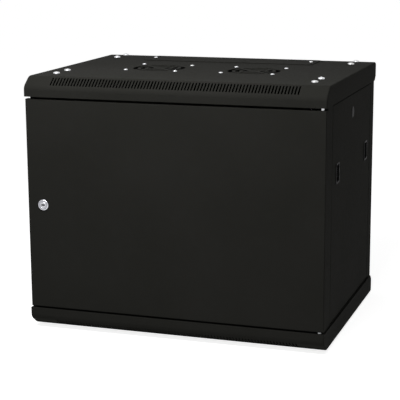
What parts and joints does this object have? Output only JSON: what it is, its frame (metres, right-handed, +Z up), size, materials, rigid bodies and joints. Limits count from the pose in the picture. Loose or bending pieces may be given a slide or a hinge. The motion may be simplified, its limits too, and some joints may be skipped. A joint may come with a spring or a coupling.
{
  "type": "wall mount network cabinet",
  "caption": "Black sheet-steel wall cabinet for 19-inch equipment, with a plain lockable door, vented bevels on both covers, roof fans and removable side panels.",
  "frame": {"origin": "under the middle of the cabinet, at the heads of the bottom cover's bolts", "axes": "+X to the right of someone facing the door, along the width; +Y back to the wall; +Z up"},
  "size_m": [0.6, 0.45, 0.508],
  "materials": {
    "black_powder_coat": "satin",
    "zinc": "zinc plated",
    "chrome": "polished",
    "black_plastic": "fine texture",
    "rubber": "matte"
  },
  "bodies": {
    "carcass": {"top_cover": "black_powder_coat", "bottom_cover": "black_powder_coat", "top_cover_bolts": "zinc", "bottom_cover_bolts": "zinc", "top_cable_entry_plate": "black_powder_coat", "bottom_cable_entry_plate": "black_powder_coat", "rear_panel": "black_powder_coat", "door_buffers": "rubber", "hinge_washer": "zinc", "left_side_frame": "black_powder_coat", "left_lower_depth_rail": "zinc", "left_upper_depth_rail": "zinc", "left_front_rack_rail": "zinc", "left_rear_rack_rail": "zinc", "left_fan_housing": "black_plastic", "right_side_frame": "black_powder_coat", "right_lower_depth_rail": "zinc", "right_upper_depth_rail": "zinc", "right_front_rack_rail": "zinc", "right_rear_rack_rail": "zinc", "right_fan_housing": "black_plastic"},
    "door": {"door_panel": "black_powder_coat", "door_stiffener": "black_powder_coat", "top_hinge_bracket": "black_powder_coat", "bottom_hinge_bracket": "black_powder_coat", "bottom_hinge_pin": "zinc", "lock_housing": "chrome", "lock_nut": "zinc"},
    "lock_barrel": {"lock_cylinder": "chrome", "lock_cam": "zinc", "lock_cam_screw": "zinc"},
    "top_pin": {"top_hinge_pin": "zinc"},
    "left_panel": {"left_side_panel": "black_powder_coat", "left_latch_housings": "black_plastic", "left_panel_plug": "black_plastic"},
    "left_front_slider": {"left_front_latch": "black_plastic"},
    "left_rear_slider": {"left_rear_latch": "black_plastic"},
    "left_fan_wheel": {"left_fan_impeller": "black_plastic"},
    "right_panel": {"right_side_panel": "black_powder_coat", "right_latch_housings": "black_plastic", "right_panel_plug": "black_plastic"},
    "right_front_slider": {"right_front_latch": "black_plastic"},
    "right_rear_slider": {"right_rear_latch": "black_plastic"},
    "right_fan_wheel": {"right_fan_impeller": "black_plastic"}
  },
  "joints": [
    {"name": "door_hinge", "type": "hinge", "parent": "carcass", "child": "door", "pos_m": [0.2895, -0.216, 0.2533], "axis": [0, 0, 1], "range_deg": [0, 180]},
    {"name": "lock_turn", "type": "hinge", "parent": "door", "child": "lock_barrel", "pos_m": [-0.266, -0.21, 0.2533], "axis": [0, 1, 0], "range_deg": [0, 90]},
    {"name": "pin_release", "type": "slide", "parent": "door", "child": "top_pin", "axis": [0, 0, -1], "range_m": [0, 0.01], "stiffness_N_per_m": 400, "springref_m": -0.005},
    {"name": "left_panel_tilt", "type": "hinge", "parent": "carcass", "child": "left_panel", "pos_m": [-0.297, 0, 0.0445], "axis": [0, -1, 0], "range_deg": [0, 30]},
    {"name": "left_front_latch_slide", "type": "slide", "parent": "left_panel", "child": "left_front_slider", "axis": [0, -1, 0], "range_m": [0, 0.008]},
    {"name": "left_rear_latch_slide", "type": "slide", "parent": "left_panel", "child": "left_rear_slider", "axis": [0, 1, 0], "range_m": [0, 0.008]},
    {"name": "left_fan_spin", "type": "hinge", "parent": "carcass", "child": "left_fan_wheel", "pos_m": [-0.1, -0.008, 0.49], "axis": [0, 0, 1], "continuous": true},
    {"name": "right_panel_tilt", "type": "hinge", "parent": "carcass", "child": "right_panel", "pos_m": [0.297, 0, 0.0445], "axis": [0, 1, 0], "range_deg": [0, 30]},
    {"name": "right_front_latch_slide", "type": "slide", "parent": "right_panel", "child": "right_front_slider", "axis": [0, -1, 0], "range_m": [0, 0.008]},
    {"name": "right_rear_latch_slide", "type": "slide", "parent": "right_panel", "child": "right_rear_slider", "axis": [0, 1, 0], "range_m": [0, 0.008]},
    {"name": "right_fan_spin", "type": "hinge", "parent": "carcass", "child": "right_fan_wheel", "pos_m": [0.1, -0.008, 0.49], "axis": [0, 0, 1], "continuous": true}
  ]
}
